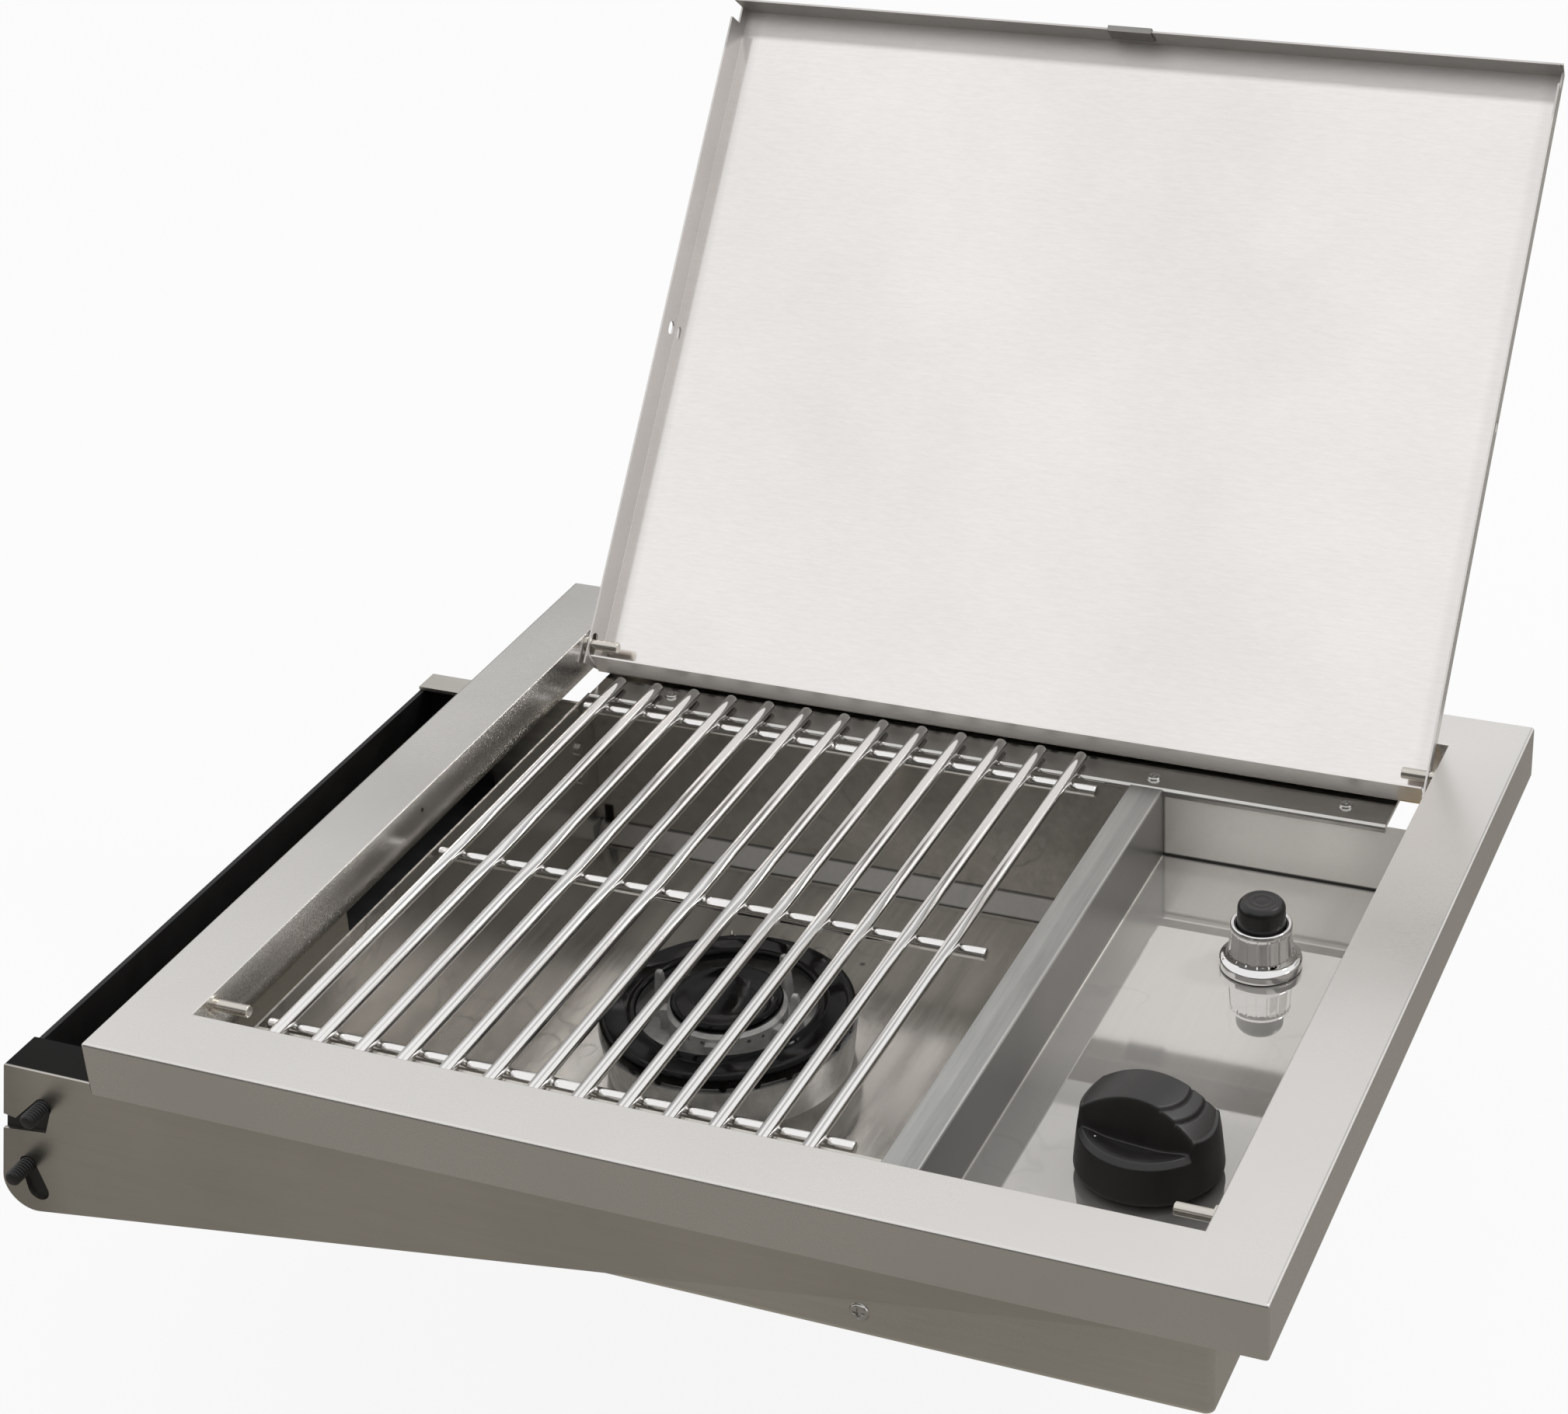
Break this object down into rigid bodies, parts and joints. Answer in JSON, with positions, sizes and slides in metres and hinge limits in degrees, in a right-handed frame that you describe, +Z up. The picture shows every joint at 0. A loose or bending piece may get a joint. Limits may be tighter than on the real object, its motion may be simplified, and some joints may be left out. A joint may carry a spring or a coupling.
{
  "type": "side burner",
  "caption": "Drop-in gas side burner for a grill shelf, with a hinged lid, a lift-off rod grate, a control knob and a push-button igniter.",
  "frame": {"origin": "on the outer leaning face of the end channel, at half its length and half its height", "axes": "+X right, from the channel to the knob side; +Y back, from the front skirt to the lid's hinge; +Z up"},
  "size_m": [0.4689, 0.5253, 0.3342],
  "materials": {
    "border_steel": "fine brushed, satin",
    "box_steel": "plain rolled, satin",
    "tub_steel": "plain rolled, semi-bright",
    "tray_steel": "semi-bright with faint rolling lines",
    "ledge_steel": "semi-bright",
    "zinc_strip": "zinc-coated, dull",
    "arm_steel": "plain rolled, satin",
    "fastener_steel": "bright zinc",
    "black_paint": "semi-gloss powder coat",
    "black_steel": "black oxide",
    "lid_steel": "satin",
    "clip_steel": "dull",
    "pin_steel": "bright turned",
    "rod_chrome": "bright plated with faint drawing lines",
    "cast_alloy": "as cast",
    "black_enamel": "gloss enamel",
    "tube_steel": "plain drawn",
    "brass": "machined",
    "valve_alloy": "die-cast",
    "pipe_alloy": "drawn",
    "knob_plastic": "matte black",
    "button_plastic": "satin black",
    "black_plastic": "matte black",
    "bezel_chrome": "bright plated",
    "gasket_rubber": "matte",
    "battery_wrap": "plain sleeve",
    "ceramic": "glazed ceramic"
  },
  "bodies": {
    "base": {"top_frame": "border_steel", "burner_box": "box_steel", "firebox": "tub_steel", "control_tray": "tray_steel", "rear_ledge": "ledge_steel", "divider_cap": "zinc_strip", "front_arm": "arm_steel", "rear_arm": "arm_steel", "arm_rivets": "fastener_steel", "end_channel": "black_paint", "arm_bolts": "black_steel", "arm_nuts": "black_steel", "ledge_screws": "fastener_steel", "front_screw": "fastener_steel", "hinge_pins": "pin_steel", "rest_pins": "pin_steel", "pin_collars": "pin_steel", "burner_base": "cast_alloy", "burner_posts": "cast_alloy", "burner_crown": "cast_alloy", "burner_ring": "black_enamel", "mixing_tube": "tube_steel", "injector": "brass", "gas_valve_body": "valve_alloy", "gas_pipe": "pipe_alloy", "inlet_fitting": "brass", "inlet_bracket": "zinc_strip", "igniter_gasket": "gasket_rubber", "igniter_bezel": "bezel_chrome", "igniter_nut": "black_plastic", "igniter_body": "black_plastic", "battery": "battery_wrap", "spark_electrode": "ceramic", "electrode_tip": "pin_steel"},
    "lid": {"lid_panel": "lid_steel", "lid_clip": "clip_steel"},
    "grate": {"grate_rods": "rod_chrome", "grate_cross_rods": "rod_chrome"},
    "burner_top": {"burner_cap": "black_enamel"},
    "stem_carrier": {"stem_washer": "fastener_steel"},
    "dial": {"knob": "knob_plastic", "valve_stem": "brass"},
    "button": {"igniter_button": "button_plastic"}
  },
  "joints": [
    {"name": "lid_hinge", "type": "hinge", "parent": "base", "child": "lid", "pos_m": [0.25092, 0.173, 0.0405], "axis": [1, 0, 0], "range_deg": [0, 129.5]},
    {"name": "grate_lift", "type": "slide", "parent": "base", "child": "grate", "axis": [0, 0, 1], "range_m": [0, 0.06]},
    {"name": "cap_lift", "type": "slide", "parent": "base", "child": "burner_top", "axis": [0, 0, 1], "range_m": [0, 0.012]},
    {"name": "knob_push", "type": "slide", "parent": "base", "child": "stem_carrier", "axis": [0, 0, -1], "range_m": [0, 0.003], "stiffness_N_per_m": 2000, "springref_m": -0.002},
    {"name": "knob_turn", "type": "hinge", "parent": "stem_carrier", "child": "dial", "pos_m": [0.38792, -0.0392, 0], "axis": [0, 0, 1], "range_deg": [0, 180]},
    {"name": "igniter_push", "type": "slide", "parent": "base", "child": "button", "axis": [0, 0, -1], "range_m": [0, 0.003], "stiffness_N_per_m": 1500, "springref_m": -0.002}
  ]
}
